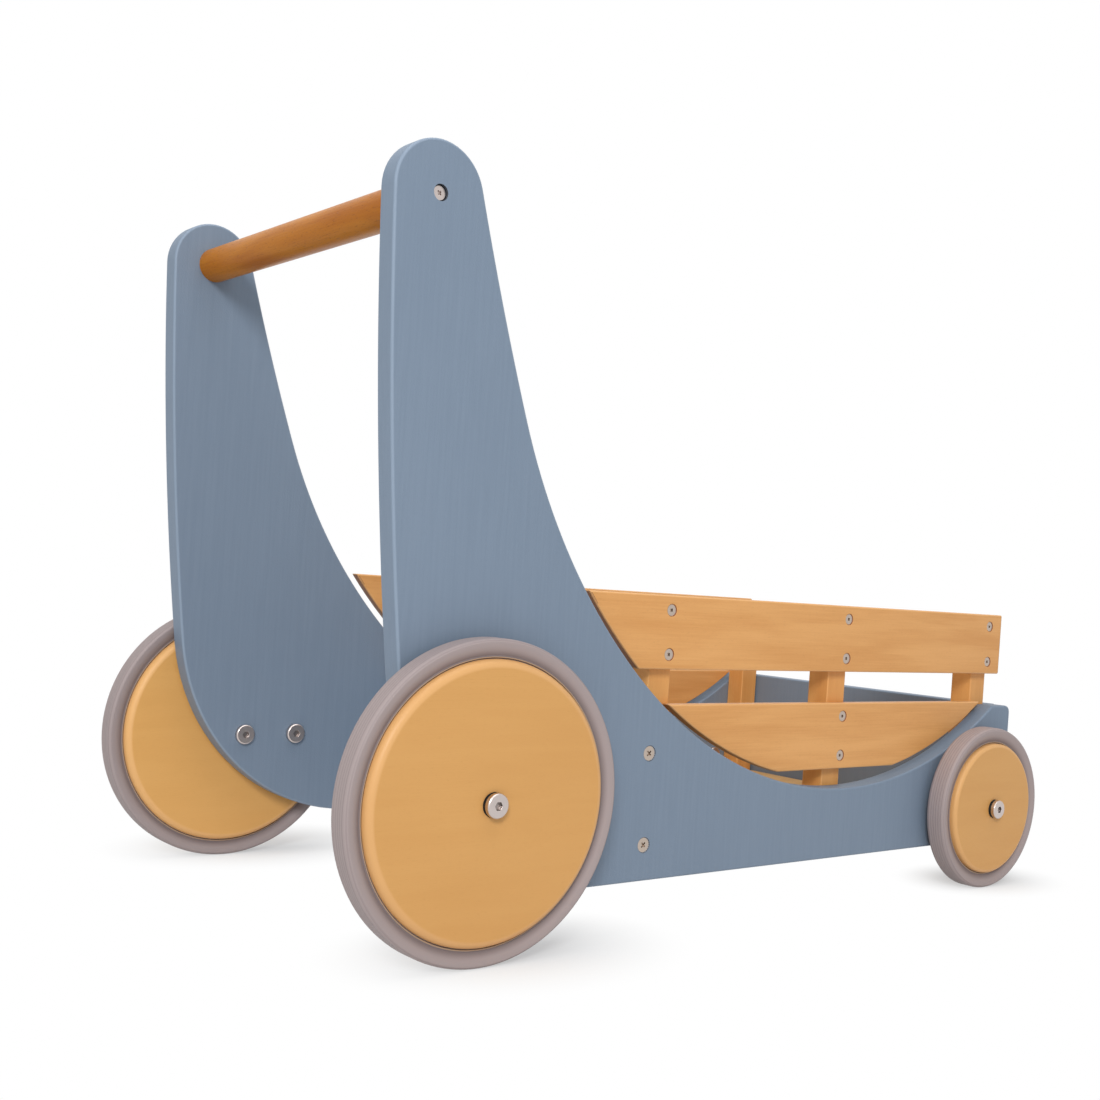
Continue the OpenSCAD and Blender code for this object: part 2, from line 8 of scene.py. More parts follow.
# %% Load the construction model
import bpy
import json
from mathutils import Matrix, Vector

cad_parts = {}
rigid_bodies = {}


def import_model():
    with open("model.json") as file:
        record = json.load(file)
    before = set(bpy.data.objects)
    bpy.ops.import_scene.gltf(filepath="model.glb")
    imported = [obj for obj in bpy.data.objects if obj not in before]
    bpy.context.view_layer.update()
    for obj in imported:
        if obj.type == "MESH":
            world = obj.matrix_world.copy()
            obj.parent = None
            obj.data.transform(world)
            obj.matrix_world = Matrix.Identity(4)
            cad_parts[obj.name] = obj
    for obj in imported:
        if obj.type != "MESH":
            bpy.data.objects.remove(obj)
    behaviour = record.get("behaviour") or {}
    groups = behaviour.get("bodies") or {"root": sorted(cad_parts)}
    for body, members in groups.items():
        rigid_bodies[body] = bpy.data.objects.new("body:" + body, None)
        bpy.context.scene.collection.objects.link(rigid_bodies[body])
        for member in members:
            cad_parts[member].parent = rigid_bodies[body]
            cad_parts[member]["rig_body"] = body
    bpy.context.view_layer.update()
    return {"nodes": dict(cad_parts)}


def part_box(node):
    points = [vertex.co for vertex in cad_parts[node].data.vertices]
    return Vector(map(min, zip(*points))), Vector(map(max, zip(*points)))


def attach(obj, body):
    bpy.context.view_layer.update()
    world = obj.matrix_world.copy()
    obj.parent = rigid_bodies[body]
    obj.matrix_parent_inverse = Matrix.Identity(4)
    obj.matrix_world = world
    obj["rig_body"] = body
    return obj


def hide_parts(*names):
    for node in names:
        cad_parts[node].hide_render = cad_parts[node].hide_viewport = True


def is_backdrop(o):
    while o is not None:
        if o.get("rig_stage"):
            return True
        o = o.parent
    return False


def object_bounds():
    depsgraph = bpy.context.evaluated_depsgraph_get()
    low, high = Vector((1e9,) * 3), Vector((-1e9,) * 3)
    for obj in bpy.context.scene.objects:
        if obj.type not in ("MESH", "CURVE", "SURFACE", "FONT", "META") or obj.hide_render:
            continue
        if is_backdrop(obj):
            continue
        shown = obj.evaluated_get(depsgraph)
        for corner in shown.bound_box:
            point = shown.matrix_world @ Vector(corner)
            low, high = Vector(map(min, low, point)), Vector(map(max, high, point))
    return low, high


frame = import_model()

# %% Bring in the tools
import json
from math import hypot, pi, radians

import bmesh
import bpy
from mathutils import Color, Matrix, Vector


def put_in_scene(name, data):
    thing = bpy.data.objects.new(name, data)
    bpy.context.scene.collection.objects.link(thing)
    return thing


print("tools ready in Blender", bpy.app.version_string)

# %% [markdown]
# ## Camera
# The photograph was taken from behind the right rear wheel, at about half the walker's height.
# The round wheels give the camera away: circles of known size turn into ellipses, and their
# shapes fix the place, the turn and the focal length. The photograph's optical centre isn't in
# the middle of its frame, so the lens is shifted by that much and no more.

# %% Camera
CAMERA_PLACE = Vector((-0.7318, -0.8387, 0.2356))
CAMERA_TURN = radians(39.68)
CAMERA_TILT = radians(-0.80)
CAMERA_ROLL = radians(3.72)
# The photograph's side, focal length and optical centre are in its pixels
PHOTO_SIDE = 1100
FOCAL_LENGTH = 1352.7
OPTICAL_CENTRE = (578.2, 602.8)

camera = put_in_scene("camera", bpy.data.cameras.new("camera"))
camera.matrix_world = (
    Matrix.Translation(CAMERA_PLACE)
    @ Matrix.Rotation(-CAMERA_TURN, 4, "Z")
    @ Matrix.Rotation(pi / 2 + CAMERA_TILT, 4, "X")
    @ Matrix.Rotation(CAMERA_ROLL, 4, "Z")
)
camera.data.lens = camera.data.sensor_width * FOCAL_LENGTH / PHOTO_SIDE
camera.data.shift_x = (PHOTO_SIDE / 2 - OPTICAL_CENTRE[0]) / PHOTO_SIDE
camera.data.shift_y = (OPTICAL_CENTRE[1] - PHOTO_SIDE / 2) / PHOTO_SIDE
bpy.context.scene.camera = camera
print("camera: lens", round(camera.data.lens, 1), "mm")

# %% [markdown]
# ## Shader sums in plain Python
# A finish is a tree of nodes, and most of its nodes are small sums: a grain line times a strength,
# one minus a mask. Wiring them by hand hides the idea, so a small class wraps a socket and lets
# Python's own operators add the Math nodes. Every other node comes from one method, which sets
# the node's settings first and then gives its sockets values or links.

# %% Wire: a socket that can be calculated with
class Wire:
    def __init__(self, tree, socket=None):
        self.tree = tree
        self.socket = socket

    def node(self, kind, settings=None, inputs=None, output=0):
        made = self.tree.nodes.new(kind)
        for name, value in (settings or {}).items():
            setattr(made, name, value)
        for name, value in (inputs or {}).items():
            if isinstance(value, Wire):
                self.tree.links.new(value.socket, made.inputs[name])
            else:
                made.inputs[name].default_value = value
        return Wire(self.tree, made.outputs[output] if made.outputs else None)

    def maths(self, operation, first, second):
        return self.node("ShaderNodeMath", {"operation": operation}, {0: first, 1: second})

    def __add__(self, other):
        return self.maths("ADD", self, other)

    def __radd__(self, other):
        return self.maths("ADD", other, self)

    def __sub__(self, other):
        return self.maths("SUBTRACT", self, other)

    def __rsub__(self, other):
        return self.maths("SUBTRACT", other, self)

    def __mul__(self, other):
        return self.maths("MULTIPLY", self, other)

    def __rmul__(self, other):
        return self.maths("MULTIPLY", other, self)

    def __or__(self, other):
        return self.maths("MAXIMUM", self, other)


print("sockets can be calculated with")

# %% Helpers that finishes share
# A Mix node has a pair of inputs for each kind of value, so its colour sockets go by number
MIX_FACTOR = 0
MIX_FIRST_COLOUR = 6
MIX_SECOND_COLOUR = 7
MIX_COLOUR_OUT = 2


def screen(red, green, blue):
    """A screen colour, 0 to 255, as the shader's linear colour"""
    return (*Color((red / 255, green / 255, blue / 255)).from_srgb_to_scene_linear(), 1.0)


def noise(place, lump, detail=2.0, roughness=0.5, twist=0.0):
    """Soft random values from 0 to 1; lump is the size of one patch along X, Y and Z"""
    laid = place.node("ShaderNodeMapping", {"vector_type": "TEXTURE"}, {"Vector": place, "Scale": lump})
    return laid.node("ShaderNodeTexNoise", None, {
        "Vector": laid, "Scale": 1.0, "Detail": detail, "Roughness": roughness, "Distortion": twist,
    })


def between(value, low, high):
    """0 below low, 1 above high, and a soft step between"""
    return value.node("ShaderNodeMapRange", {"interpolation_type": "SMOOTHSTEP"},
                      {"Value": value, "From Min": low, "From Max": high})


def blend(mask, first, second):
    """The first colour where the mask is 0, the second where it is 1"""
    sockets = {MIX_FACTOR: mask, MIX_FIRST_COLOUR: first, MIX_SECOND_COLOUR: second}
    return mask.node("ShaderNodeMix", {"data_type": "RGBA"}, sockets, output=MIX_COLOUR_OUT)


def marked(place, name):
    """A value that the mesh itself carries"""
    return place.node("ShaderNodeAttribute", {"attribute_name": name}, output="Fac")


def relief(height, depth):
    """A surface normal that follows a height from 0 to 1, depth in metres"""
    return height.node("ShaderNodeBump", None, {"Strength": 1.0, "Distance": depth, "Height": height})


def start_finish(name):
    """An empty material, and the place on the piece that its patterns are laid over"""
    material = bpy.data.materials.new(name)
    material.use_nodes = True
    material.node_tree.nodes.clear()
    return material, Wire(material.node_tree).node("ShaderNodeTexCoord", output="Object")


def end_finish(place, sockets):
    """The one surface shader that a finish ends in"""
    shader = place.node("ShaderNodeBsdfPrincipled", None, sockets)
    shader.node("ShaderNodeOutputMaterial", None, {"Surface": shader})


print("shader helpers ready")

# %% [markdown]
# ## Light
# The photograph is lit by a bright white room: even light from all sides, a little more from
# above, and the strongest light from a softbox high on the camera's left. That one is small
# enough for the handle bar to throw a soft shadow on the far panel. The world gives the even part
# and two area lamps the rest. The room's white is what the camera and the steel see, so it has
# its own brightness, chosen by the kind of ray, and the object isn't lit more for it.

# %% Room and softboxes
WHITE = (1, 1, 1, 1)
ROOM_LIGHT = 0.43
LIT_POINT = (0, 0, 0.2)
OVERHEAD_PLACE = (-0.2, -0.2, 2.4)
OVERHEAD_SIDE = 2.0
OVERHEAD_POWER = 24.0
LEFT_PLACE = (-1.9, -2.0, 1.5)
LEFT_SIDE = 0.75
LEFT_POWER = 42.0


def seen_directly(start):
    """1 for the rays that show the surroundings: to the camera, in gloss and through glass"""
    rays = [start.node("ShaderNodeLightPath", output=name)
            for name in ("Is Camera Ray", "Is Glossy Ray", "Is Transmission Ray")]
    return rays[0] | rays[1] | rays[2]


def softbox(name, place, side, power):
    lamp = bpy.data.lights.new(name, "AREA")
    lamp.size = side
    lamp.energy = power
    turn = (Vector(LIT_POINT) - Vector(place)).to_track_quat("-Z", "Y")
    put_in_scene(name, lamp).matrix_world = Matrix.Translation(place) @ turn.to_matrix().to_4x4()


room = bpy.data.worlds.new("white_room")
room.use_nodes = True
room.node_tree.nodes.clear()
start = Wire(room.node_tree)
even = start.node("ShaderNodeBackground", None, {"Color": WHITE, "Strength": ROOM_LIGHT})
white = start.node("ShaderNodeBackground", None, {"Color": WHITE, "Strength": 1.0})
shown = start.node("ShaderNodeMixShader", None, {0: seen_directly(start), 1: even, 2: white})
start.node("ShaderNodeOutputWorld", None, {"Surface": shown})
bpy.context.scene.world = room
bpy.context.scene.view_settings.view_transform = "Standard"

softbox("overhead_softbox", OVERHEAD_PLACE, OVERHEAD_SIDE, OVERHEAD_POWER)
softbox("left_softbox", LEFT_PLACE, LEFT_SIDE, LEFT_POWER)
print("room light", ROOM_LIGHT, "and two softboxes")

# %% [markdown]
# ## Floor
# The walker stands on white paper, and only the soft shadows round the four tyres show that there
# is a floor at all. A matt white plane takes the shadows. A little over a wheel's radius from the
# tyres it fades into the room's own white for the rays that show it, so no horizon appears. The
# light comes from the left, so the shadows reach further to the right and the back.

# %% Floor
PAPER = (0.78, 0.78, 0.78, 1)
FLOOR_REACH = 5
# Reach and drift of a shadow are counted in its wheel's radius, along X and Y
SHADOW_REACH = (1.4, 1.0)
SHADOW_DRIFT = (0.42, 0.20)
SHADOW_FADE = (0.1, 1.0)
DEEPEST_SHADOW = 0.6
SIDES = ("right", "left")
WHEELS = [f"{side}_{end}" for side in SIDES for end in ("rear", "front")]


def axle_of(wheel):
    low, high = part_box(wheel + "_wheel_disc")
    return (low + high) / 2


floor_finish, place = start_finish("white_paper")
away = None
for wheel in WHEELS:
    axle = axle_of(wheel)
    around = place.node("ShaderNodeMapping", {"vector_type": "TEXTURE"}, {
        "Vector": place,
        "Location": (axle.x + axle.z * SHADOW_DRIFT[0], axle.y + axle.z * SHADOW_DRIFT[1], 0),
        "Scale": [axle.z * far for far in (*SHADOW_REACH, 1)],
    })
    distance = around.node("ShaderNodeVectorMath", {"operation": "LENGTH"}, {0: around}, output="Value")
    away = distance if away is None else away.maths("MINIMUM", away, distance)
paper = place.node("ShaderNodeBsdfDiffuse", None, {"Color": PAPER})
glow = place.node("ShaderNodeEmission", None, {"Color": WHITE, "Strength": 1.0})
fade = seen_directly(place) * (1 - DEEPEST_SHADOW * (1 - between(away, *SHADOW_FADE)))
sheet = place.node("ShaderNodeMixShader", None, {0: fade, 1: paper, 2: glow})
sheet.node("ShaderNodeOutputMaterial", None, {"Surface": sheet})

shape = bmesh.new()
bmesh.ops.create_grid(shape, x_segments=1, y_segments=1, size=FLOOR_REACH)
floor_mesh = bpy.data.meshes.new("floor")
shape.to_mesh(floor_mesh)
shape.free()
floor_mesh.materials.append(floor_finish)
floor = put_in_scene("floor", floor_mesh)
floor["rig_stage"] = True
print("floor with", len(WHEELS), "soft shadows")

# %% [markdown]
# ## Slate paint
# The side panels and the end walls are boards under a satin slate-blue paint. The brush and the
# grain below leave faint upright streaks and a fine skin, which two nearly equal tones and a low
# relief carry. On the upright rear parts the eased edges get a paler tone, a painted highlight, and
# the walls of the screws' bores a dark one, a painted shade. Marks on the mesh say where an edge or a
# bore is.

# %% Slate paint
SLATE = screen(125, 141, 160)
SLATE_STREAK = screen(121, 137, 156)
# Painted highlight: the paler tone of the eased edges on the upright rear parts
SLATE_EDGE_HIGHLIGHT = screen(150, 166, 185)
# Painted shade: the dark tone of the walls of screw bores
SLATE_BORE_SHADE = screen(70, 74, 82)
BRUSH_STREAK = (0.0022, 0.0022, 0.06)
PAINT_CLOUD = (0.07, 0.07, 0.11)
PAINT_SKIN = (0.0009, 0.0009, 0.0012)
PAINT_DEPTH = 0.00022
# How strongly the painted highlight shows on the eased edges
PAINTED_EDGE_HIGHLIGHT = 0.45
# The painted edge highlight lies behind the first of these places along X, and not ahead of the second
REAR_HIGHLIGHT_TO = (-0.22, -0.10)
# Most of a noise's values lie between these two
COMMON_NOISE = (0.32, 0.68)


def slate_paint():
    material, place = start_finish("slate_paint")
    streak = noise(place, BRUSH_STREAK, detail=3)
    cloud = noise(place, PAINT_CLOUD)
    skin = noise(place, PAINT_SKIN, detail=3)
    tone = blend(between(streak * 0.6 + cloud * 0.4, *COMMON_NOISE), SLATE_STREAK, SLATE)
    forward = place.node("ShaderNodeSeparateXYZ", None, {0: place}, output="X")
    # The eased edges of the rear uprights get a painted highlight, and the screw bores a painted shade
    rear_highlight = 1 - between(forward, *REAR_HIGHLIGHT_TO)
    tone = blend(marked(place, "highlight_round") * rear_highlight * PAINTED_EDGE_HIGHLIGHT, tone, SLATE_EDGE_HIGHLIGHT)
    tone = blend(marked(place, "bore"), tone, SLATE_BORE_SHADE)
    end_finish(place, {
        "Base Color": tone,
        "Roughness": 0.40 + 0.16 * skin + 0.08 * cloud,
        "Specular IOR Level": 0.35,
        "Normal": relief(skin * 0.6 + streak * 0.4, PAINT_DEPTH),
    })
    return material


slate = slate_paint()
print("finish:", slate.name)

# %% [markdown]
# ## Lacquered wood
# Slats, posts, wheels, handle and floor board are the same idea in different tones: broad soft
# bands, fine grain lines and short flecks, all stretched along the grain and all faint, as they
# are in beech. One function makes them, with the grain's direction and the colours as its
# inputs. Sawn ends are darker, partly as end grain is and partly as painted shade, bores are
# darkened as painted shade, and eased edges are a touch paler, a painted highlight. The left wheels
# are paler, partly as another sheet of plywood and partly as painted light on the far wheel in the
# panels' shade.

# %% Lacquered wood
WOOD_BAND = {"length": 0.12, "width": 0.016}
GRAIN_LINE = {"length": 0.05, "width": 0.0012}
FLECK = {"length": 0.004, "width": 0.0005}
# The rare high values of a noise are flecks
RARE_NOISE = (0.58, 0.72)
GRAIN_DEPTH = 0.00015
# Sawn ends are darkened, partly for end grain and partly as painted shade
END_GRAIN_AND_SHADE = 0.8
# Eased edges are made paler, a painted highlight
WOOD_EDGE_HIGHLIGHT = 0.6


def along(axis, length, width):
    """A patch that is long along one axis and narrow across it"""
    return tuple(length if name == axis else width for name in "XYZ")


def lacquered_wood(name, axis, pale, deep, end, edge, streak=0.22, fleck=0.10, gloss=0.34, shine=0.3):
    material, place = start_finish(name)
    band = noise(place, along(axis, **WOOD_BAND), detail=4, twist=0.5)
    line = noise(place, along(axis, **GRAIN_LINE), detail=3, roughness=0.6)
    dash = noise(place, along(axis, **FLECK), detail=1)
    grain = between(band * (1 - streak) + line * streak, *COMMON_NOISE)
    flecks = between(dash, *RARE_NOISE) * fleck
    tone = blend(grain, pale, deep)
    tone = blend(flecks, tone, end)
    # Ends take the dark tone partly as end grain and partly as painted shade; bores take it as painted
    # shade
    tone = blend(marked(place, "end") * END_GRAIN_AND_SHADE | marked(place, "bore"), tone, end)
    # The eased rounds get a paler tone, a painted highlight
    tone = blend(marked(place, "highlight_round") * WOOD_EDGE_HIGHLIGHT, tone, edge)
    end_finish(place, {
        "Base Color": tone,
        "Roughness": gloss + 0.14 * line + 0.10 * flecks,
        "Specular IOR Level": shine,
        "Normal": relief(1 - (line * 0.5 + flecks), GRAIN_DEPTH),
    })
    return material


slat_wood = lacquered_wood(
    "slat_wood", "X", streak=0.32,
    pale=screen(228, 170, 106), deep=screen(215, 154, 90),
    end=screen(128, 70, 40), edge=screen(236, 184, 126),
)
post_wood = lacquered_wood(
    "post_wood", "Z",
    pale=screen(231, 170, 100), deep=screen(220, 155, 86),
    end=screen(160, 104, 60), edge=screen(236, 180, 116),
)
wheel_wood = {
    "right": lacquered_wood(
        "right_wheel_wood", "X", streak=0.15,
        pale=screen(216, 163, 97), deep=screen(213, 159, 93),
        end=screen(178, 122, 62), edge=screen(228, 177, 120),
    ),
    # Paler partly as another sheet and partly as painted light, lifting the far wheel that stands in the
    # panels' shade
    "left": lacquered_wood(
        "left_wheel_wood", "X", streak=0.15,
        pale=screen(230, 175, 103), deep=screen(227, 171, 99),
        end=screen(188, 131, 68), edge=screen(240, 188, 128),
    ),
}
handle_wood = lacquered_wood(
    "handle_wood", "Y", streak=0.2, fleck=0.35, gloss=0.26, shine=0.14,
    pale=screen(194, 122, 20), deep=screen(170, 97, 12),
    end=screen(104, 54, 8), edge=screen(196, 122, 24),
)
board_wood = lacquered_wood(
    "board_wood", "X", gloss=0.42,
    pale=screen(226, 182, 124), deep=screen(212, 166, 106),
    end=screen(156, 110, 66), edge=screen(230, 190, 134),
)
woods = (slat_wood, post_wood, *wheel_wood.values(), handle_wood, board_wood)
print("finishes:", [wood.name for wood in woods])

# %% [markdown]
# ## Rubber, steel and the small hidden parts
# The tyres are grey rubber from a mould that was turned on a lathe, so fine lines run round their
# treads. A wave across the tyre's width gives the lines, and noise over the width and the distance
# from the axle, which the mesh carries, keeps them from being even. The mesh also says how far
# out a point lies, because the groove beside the wood is darkened, a painted shade. Steel is a bright
# metal with fine wear, and nylon, brass and felt are what washers, threaded inserts and friction pads
# are made of.

# %% Rubber
RUBBER = screen(164, 150, 149)
RUBBER_LINE = screen(126, 113, 113)
# Painted shade: the dark tone of the groove beside the wood
RUBBER_GROOVE_SHADE = screen(100, 87, 88)
RUBBER_LIP = screen(178, 152, 126)
LINE_PITCH = 0.0024
LINE_LUMP = (0.004, 0.004, 1)
LINE_WANDER = 6
LINE_CREST = (0.3, 0.9)
LINE_STRENGTH = 0.45
LINE_DEPTH = 0.0001
# How strongly the painted shade darkens the groove beside the wood
GROOVE_SHADE_STRENGTH = 0.75
DUST_LUMP = (0.02, 0.02, 0.02)
# Heights on the tyre, from 0 at the wood to 1 at the tread
TREAD_RISE = (0.8, 0.95)
GROOVE_RISE = (0.1, 0.55)


def tyre_rubber():
    material, place = start_finish("tyre_rubber")
    width = place.node("ShaderNodeSeparateXYZ", None, {0: place}, output="Y")
    across = place.node("ShaderNodeCombineXYZ", None, {0: marked(place, "reach"), 1: width})
    uneven = noise(across, LINE_LUMP, detail=1)
    wave = width.maths("SINE", width * (2 * pi / LINE_PITCH) + uneven * LINE_WANDER, 0.0)
    rise = marked(place, "rise")
    line = between(wave, *LINE_CREST) * between(rise, *TREAD_RISE)
    dust = noise(place, DUST_LUMP, detail=3)
    # Painted shade, darkest in the groove next to the wood
    groove_shade = 1 - between(rise, *GROOVE_RISE)
    tone = blend(line * LINE_STRENGTH, RUBBER, RUBBER_LINE)
    tone = blend(groove_shade * GROOVE_SHADE_STRENGTH, tone, RUBBER_GROOVE_SHADE)
    tone = blend(marked(place, "lip"), tone, RUBBER_LIP)
    end_finish(place, {
        "Base Color": tone,
        "Roughness": 0.56 + 0.14 * dust,
        "Normal": relief(1 - line, LINE_DEPTH),
    })
    return material


rubber = tyre_rubber()
print("finish:", rubber.name)

# %% Steel, brass, nylon and felt
METAL_HAZE = screen(150, 150, 152)
# Painted shade inside the caps' key sockets
SOCKET_SHADE_TONE = screen(62, 52, 48)
SOCKET_SHADE = 0.5
SCRATCH = (0.0004, 0.004, 0.0022)
SCRATCH_DEPTH = 0.00003
HAZE_LUMP = (0.004, 0.004, 0.004)
GRAIN_STEP = (0.3, 0.7)
GRAIN_PITS = 0.2


def metal(name, colour, rough):
    material, place = start_finish(name)
    scratch = noise(place, SCRATCH, detail=2)
    haze = noise(place, HAZE_LUMP)
    tone = blend(haze * 0.25, colour, METAL_HAZE)
    end_finish(place, {
        # The marked sockets are darkened, a painted shade
        "Base Color": blend(marked(place, "bore") * SOCKET_SHADE, tone, SOCKET_SHADE_TONE),
        "Metallic": 1.0,
        "Roughness": rough + 0.12 * scratch + 0.06 * haze,
        "Normal": relief(scratch, SCRATCH_DEPTH),
    })
    return material


def plain_solid(name, pale, deep, lump, rough):
    material, place = start_finish(name)
    grain = noise(place, (lump, lump, lump), detail=4)
    end_finish(place, {
        "Base Color": blend(between(grain, *GRAIN_STEP), deep, pale),
        "Roughness": rough + 0.1 * grain,
        "Normal": relief(grain, lump * GRAIN_PITS),
    })
    return material


steel = metal("steel", screen(208, 196, 191), rough=0.24)
screw_steel = metal("screw_steel", screen(194, 178, 164), rough=0.28)
brass = metal("insert_brass", screen(214, 180, 110), rough=0.28)
nylon = plain_solid("black_nylon", screen(44, 44, 46), screen(30, 30, 32), lump=0.0008, rough=0.42)
felt = plain_solid("pad_felt", screen(104, 101, 98), screen(74, 72, 70), lump=0.0006, rough=0.85)
print("finishes:", [finish.name for finish in (steel, screw_steel, brass, nylon, felt)])

# %% [markdown]
# ## From construction solid to wooden piece
# No board has knife-sharp edges: after sawing, each edge is eased with a small round, and that
# round catches the light. So a construction solid is copied, welded, its flat faces are made
# whole again, and its edges are bevelled. Screws and sleeves fill the bores, so a bore keeps its
# sharp rim: sharp edges are grouped into runs that join, and a run is left alone if it is no
# taller than a bore. The rounds are marked, so that a finish can paint a paler highlight on them.

# %% Copy, ease and dress
WELD = 1e-6
FLAT = radians(0.05)
SHARP = radians(40)


def copy_of(node):
    shape = bmesh.new()
    shape.from_mesh(frame["nodes"][node].data)
    bmesh.ops.remove_doubles(shape, verts=shape.verts, dist=WELD)
    bmesh.ops.dissolve_limit(shape, angle_limit=FLAT, verts=shape.verts, edges=shape.edges)
    return shape


def sharp_runs(shape):
    """Sharp edges, grouped into the runs in which they join"""
    waiting = {edge for edge in shape.edges if edge.calc_face_angle(0) > SHARP}
    runs = []
    while waiting:
        run, front = [], [waiting.pop()]
        while front:
            edge = front.pop()
            run.append(edge)
            joined = {other for vert in edge.verts for other in vert.link_edges} & waiting
            waiting -= joined
            front.extend(joined)
        runs.append(run)
    return runs


def span(run):
    corners = [vert.co for edge in run for vert in edge.verts]
    return Vector(max(c[i] for c in corners) - min(c[i] for c in corners) for i in range(3))


def ease(shape, width, steps=3, tallest_bore=0.0, keep=None):
    """Rounds the sharp edges of every run that is taller than a bore, and marks the rounds for a painted
    highlight
    """
    highlight_round = shape.verts.layers.float.new("highlight_round")
    chosen = [edge for run in sharp_runs(shape) if span(run).z > tallest_bore for edge in run
              if keep is None or keep(edge)]
    # Where every edge is eased, rounds that would meet are held apart
    made = bmesh.ops.bevel(shape, geom=chosen, offset=width, offset_type="OFFSET", affect="EDGES",
                           segments=steps, profile=0.5, material=-1, clamp_overlap=tallest_bore == 0)
    rounds = set(made["faces"])
    for vert in made["verts"]:
        vert[highlight_round] = float(all(face in rounds for face in vert.link_faces))
    return shape


def dress(shape, node, finish):
    """Makes the finished shape the piece that stands for a construction node"""
    for face in shape.faces:
        face.smooth = True
    for edge in shape.edges:
        edge.smooth = edge.calc_face_angle(0) < SHARP
    mesh = bpy.data.meshes.new("dressed_" + node)
    shape.to_mesh(mesh)
    shape.free()
    mesh.materials.append(finish)
    piece = put_in_scene("dressed_" + node, mesh)
    piece.modifiers.new("even_shading", "WEIGHTED_NORMAL").keep_sharp = True
    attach(piece, frame["nodes"][node]["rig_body"])
    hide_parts(node)
    print("piece:", piece.name, len(mesh.polygons), "faces")


print("ready to dress", len(frame["nodes"]), "construction nodes")

# %% [markdown]
# ## Painted boards
# Each side panel is one board cut to a long swept outline. Its outline is eased on both faces by
# almost two millimetres, and that round shows as a thin bright line: lit, and on the upright rear parts
# also a painted highlight. The walls of its screw holes are marked and painted dark, a painted shade,
# because they lie in shade. The end walls butt against the panels, so only their long edges are eased.

# %% Side panels and end walls
PANEL_EASE = 0.0018
WALL_EASE = 0.0012
TALLEST_BORE = 0.03
# A direction counts as sideways if this much of it is along Y
SIDEWAYS = 0.95
MOSTLY_SIDEWAYS = 0.9


def mark_bores(shape):
    """Marks the walls of screw holes: faces at a small run of edges that don't look sideways"""
    bore = shape.faces.layers.float.new("bore")
    for run in sharp_runs(shape):
        if span(run).z <= TALLEST_BORE:
            for face in {face for edge in run for face in edge.link_faces}:
                face[bore] = float(abs(face.normal.y) < SIDEWAYS)
    return shape


def runs_across(edge):
    """An edge that runs from panel to panel"""
    way = edge.verts[1].co - edge.verts[0].co
    return abs(way.y) > MOSTLY_SIDEWAYS * way.length and way.length > TALLEST_BORE


for side in SIDES:
    node = side + "_side_panel"
    shape = ease(mark_bores(copy_of(node)), PANEL_EASE, steps=4, tallest_bore=TALLEST_BORE)
    dress(shape, node, slate)
for node in ("front_wall", "rear_wall"):
    shape = ease(copy_of(node), WALL_EASE, tallest_bore=TALLEST_BORE, keep=runs_across)
    dress(shape, node, slate)

# %% [markdown]
# ## Slats, posts and floor board
# The box's sides are open: two slats a side, screwed to three square posts. Slats are sawn from
# planks, so their grain runs along the walker and their cut ends are darker, partly as end grain and
# partly as painted shade, while a post's grain stands upright. The floor board lies between them in
# grooves.

# %% Slats, posts and floor board
SLAT_EASE = 0.0014
POST_EASE = 0.0011
BOARD_EASE = 0.0006
END_SLANT = 0.2


def mark_ends(shape, axis):
    """Marks the faces that cut across the grain, also at a slant"""
    end = shape.faces.layers.float.new("end")
    for face in shape.faces:
        face[end] = float(abs(face.normal["XYZ".index(axis)]) > END_SLANT)
    return shape


for side in SIDES:
    for level in ("upper", "lower"):
        node = f"{side}_{level}_slat"
        shape = ease(mark_bores(copy_of(node)), SLAT_EASE, tallest_bore=TALLEST_BORE)
        dress(mark_ends(shape, "X"), node, slat_wood)
    for row in ("rear", "middle", "front"):
        node = f"{side}_{row}_post"
        shape = ease(copy_of(node), POST_EASE, tallest_bore=TALLEST_BORE)
        dress(mark_ends(shape, "Z"), node, post_wood)
board = ease(copy_of("floor_board"), BOARD_EASE, steps=2)
dress(mark_ends(board, "X"), "floor_board", board_wood)

# %% [markdown]
# ## Turned pieces
# Wheel discs, tyres and the handle bar come off a lathe, so they are made as a lathe makes them:
# half of the cross-section is drawn once, its corners are rounded, and it is spun round the axle.
# A corner is a radius, a place across the walker and the size of its round. The mesh remembers
# each point's radius, which the lines on the rubber need.

# %% Spin a cross-section
SPIN_STEPS = 128
CORNER_STEPS = 6


def turned(corners, axle):
    shape = bmesh.new()
    points = [shape.verts.new((axle.x + radius, across, axle.z)) for radius, across, _ in corners]
    shape.faces.new(points)
    for point, (_, _, rounding) in zip(points, corners):
        if rounding:
            bmesh.ops.bevel(shape, geom=[point], offset=rounding, offset_type="OFFSET",
                            affect="VERTICES", segments=CORNER_STEPS, profile=0.5, material=-1)
    bmesh.ops.delete(shape, geom=shape.faces[:], context="FACES_ONLY")
    on_axle = [edge for edge in shape.edges if all(vert.co.x - axle.x < WELD for vert in edge.verts)]
    bmesh.ops.delete(shape, geom=on_axle, context="EDGES")
    bmesh.ops.spin(shape, geom=shape.verts[:] + shape.edges[:], cent=axle, axis=(0, 1, 0),
                   angle=2 * pi, steps=SPIN_STEPS, use_merge=True)
    bmesh.ops.remove_doubles(shape, verts=shape.verts, dist=WELD)
    bmesh.ops.recalc_face_normals(shape, faces=shape.faces)
    reach = shape.verts.layers.float.new("reach")
    for vert in shape.verts:
        vert[reach] = hypot(vert.co.x - axle.x, vert.co.z - axle.z)
    return shape


def mirrored(half, middle):
    """A whole cross-section from its right half: the same corners again, turned over at the middle"""
    return half + [(radius, 2 * middle - across, rounding) for radius, across, rounding in reversed(half)]


print("lathe ready:", SPIN_STEPS, "steps a turn")

